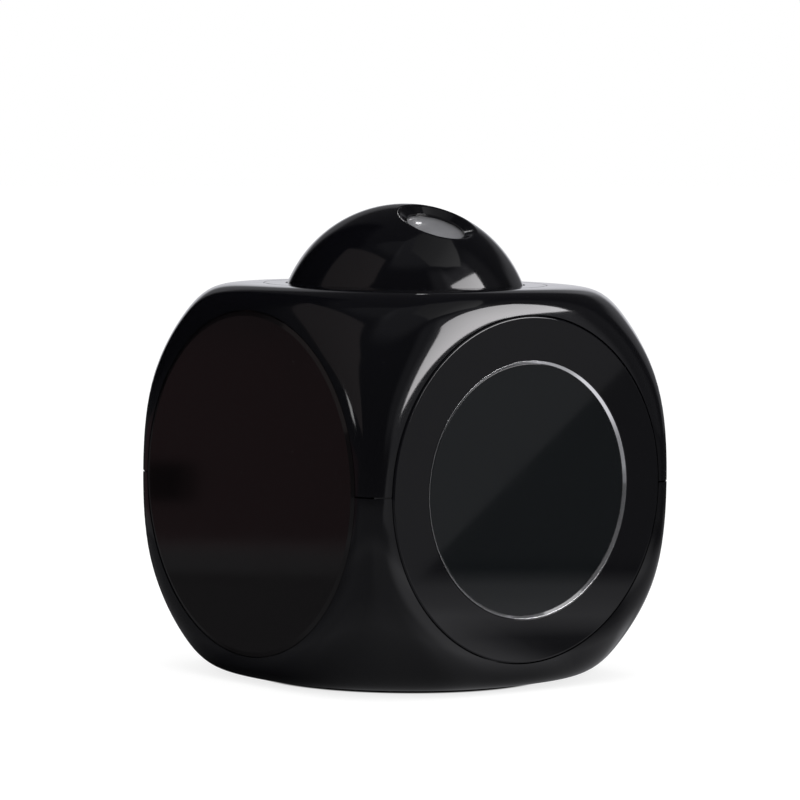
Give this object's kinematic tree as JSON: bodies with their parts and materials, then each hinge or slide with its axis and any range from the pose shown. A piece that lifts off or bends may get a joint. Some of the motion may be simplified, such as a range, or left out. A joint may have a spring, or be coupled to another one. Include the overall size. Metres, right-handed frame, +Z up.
{
  "type": "projection alarm clock",
  "caption": "Gloss black rounded-cube alarm clock with round side panels, a ringed display window and a tilting projector ball set in the top.",
  "frame": {"origin": "on the table, under the middle of the body, at the underside of the feet", "axes": "+Z up, front face with the display towards -Y, rear controls towards +Y"},
  "size_m": [0.08, 0.08, 0.0962],
  "materials": {
    "housing_gloss": "high gloss moulded",
    "collar_gloss": "high gloss moulded",
    "ball_gloss": "high gloss moulded",
    "front_lens_gloss": "clear acrylic over black print",
    "ring_silver": "satin silver",
    "side_panel_gloss": "high gloss disc",
    "rear_panel_gloss": "high gloss moulded",
    "button_plastic": "satin",
    "display_glass": "laminated glass",
    "light_guide": "frosted",
    "contact_rubber": "striped rubber",
    "frame_plastic": "moulded",
    "board_green": "solder mask",
    "component_black": "moulded",
    "steel": "zinc plated",
    "contact_steel": "nickel plated",
    "speaker_paper": "paper cone",
    "magnet": "ferrite",
    "washer_felt": "felt",
    "inner_plastic": "moulded",
    "lens_clear": "clear",
    "image_slide": "laminated",
    "led_board": "bare",
    "led_lens": "clear epoxy",
    "cell_wrap": "plain wrap",
    "foot_rubber": "matte"
  },
  "bodies": {
    "body": {"upper_housing": "housing_gloss", "lower_housing": "housing_gloss", "top_collar": "collar_gloss", "front_lens": "front_lens_gloss", "display_ring": "ring_silver", "display_glass": "display_glass", "light_guide": "light_guide", "contact_strips": "contact_rubber", "display_frame": "frame_plastic", "left_panel": "side_panel_gloss", "right_panel": "side_panel_gloss", "rear_panel": "rear_panel_gloss", "key_board": "board_green", "key_switches": "component_black", "key_board_screws": "steel", "main_board": "board_green", "clock_chip": "component_black", "timing_crystal": "steel", "reservoir_capacitor": "component_black", "main_board_screws": "steel", "speaker_basket": "steel", "speaker_cone": "speaker_paper", "speaker_magnet": "magnet", "socket_board": "board_green", "power_socket": "steel", "pivot_caps": "inner_plastic", "pivot_cap_screws": "steel", "battery_cells": "cell_wrap", "spring_contacts": "contact_steel", "button_contacts": "contact_steel", "housing_screws": "steel", "rubber_feet": "foot_rubber"},
    "projector_ball": {"ball_shell": "ball_gloss", "ball_base": "ball_gloss", "ball_screws": "steel", "friction_washers": "washer_felt", "projection_lens": "lens_clear", "lens_retainer": "inner_plastic", "lens_barrel": "inner_plastic", "image_slide": "image_slide", "slide_spacer": "inner_plastic", "condenser_lens": "lens_clear", "led_board": "led_board", "projector_led": "led_lens"},
    "door": {"battery_door": "housing_gloss"},
    "mode_button": {"button_mode": "button_plastic"},
    "set_button": {"button_set": "button_plastic"},
    "up_button": {"button_up": "button_plastic"},
    "down_button": {"button_down": "button_plastic"},
    "snooze_button": {"button_snooze": "button_plastic"}
  },
  "joints": [
    {"name": "ball_tilt", "type": "hinge", "parent": "body", "child": "projector_ball", "pos_m": [0, 0, 0.0702], "axis": [1, 0, 0], "range_deg": [-114, 66]},
    {"name": "battery_door_hinge", "type": "hinge", "parent": "body", "child": "door", "pos_m": [0, -0.01735, 0.0006], "axis": [-1, 0, 0], "range_deg": [0, 85]},
    {"name": "mode_press", "type": "slide", "parent": "body", "child": "mode_button", "axis": [0, -1, 0], "range_m": [0, 0.0006], "stiffness_N_per_m": 400, "springref_m": -0.001},
    {"name": "set_press", "type": "slide", "parent": "body", "child": "set_button", "axis": [0, -1, 0], "range_m": [0, 0.0006], "stiffness_N_per_m": 400, "springref_m": -0.001},
    {"name": "up_press", "type": "slide", "parent": "body", "child": "up_button", "axis": [0, -1, 0], "range_m": [0, 0.0006], "stiffness_N_per_m": 400, "springref_m": -0.001},
    {"name": "down_press", "type": "slide", "parent": "body", "child": "down_button", "axis": [0, -1, 0], "range_m": [0, 0.0006], "stiffness_N_per_m": 400, "springref_m": -0.001},
    {"name": "snooze_press", "type": "slide", "parent": "body", "child": "snooze_button", "axis": [0, -1, 0], "range_m": [0, 0.0006], "stiffness_N_per_m": 400, "springref_m": -0.001}
  ]
}
